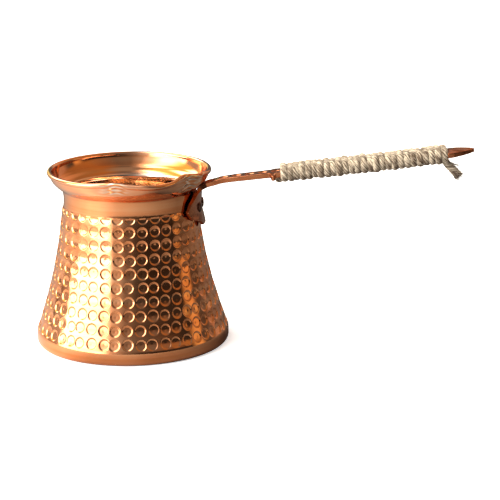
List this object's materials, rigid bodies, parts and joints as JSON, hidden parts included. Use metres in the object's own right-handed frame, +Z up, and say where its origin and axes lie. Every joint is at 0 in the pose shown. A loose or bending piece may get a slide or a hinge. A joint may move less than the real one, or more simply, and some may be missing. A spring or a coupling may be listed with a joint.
{
  "type": "turkish coffee pot",
  "caption": "Long-handled copper coffee pot with a bell-shaped body, a flared collar with a pouring lip, and a riveted handle wound with jute twine.",
  "frame": {"origin": "centre of the base, on the plane that the pot stands on", "axes": "+Z up, +X along the handle, away from the pot"},
  "size_m": [0.203, 0.09, 0.0939],
  "materials": {
    "hammered_copper": "polished copper, hammered",
    "handle_copper": "burnished copper with punched marks",
    "rivet_copper": "dull, darkened copper",
    "jute_twine": "coarse twisted jute"
  },
  "bodies": {
    "root": {"pot_body": "hammered_copper", "handle": "handle_copper", "rivet_front": "rivet_copper", "rivet_rear": "rivet_copper", "twine_winding": "jute_twine", "twine_tail": "jute_twine"}
  },
  "joints": []
}
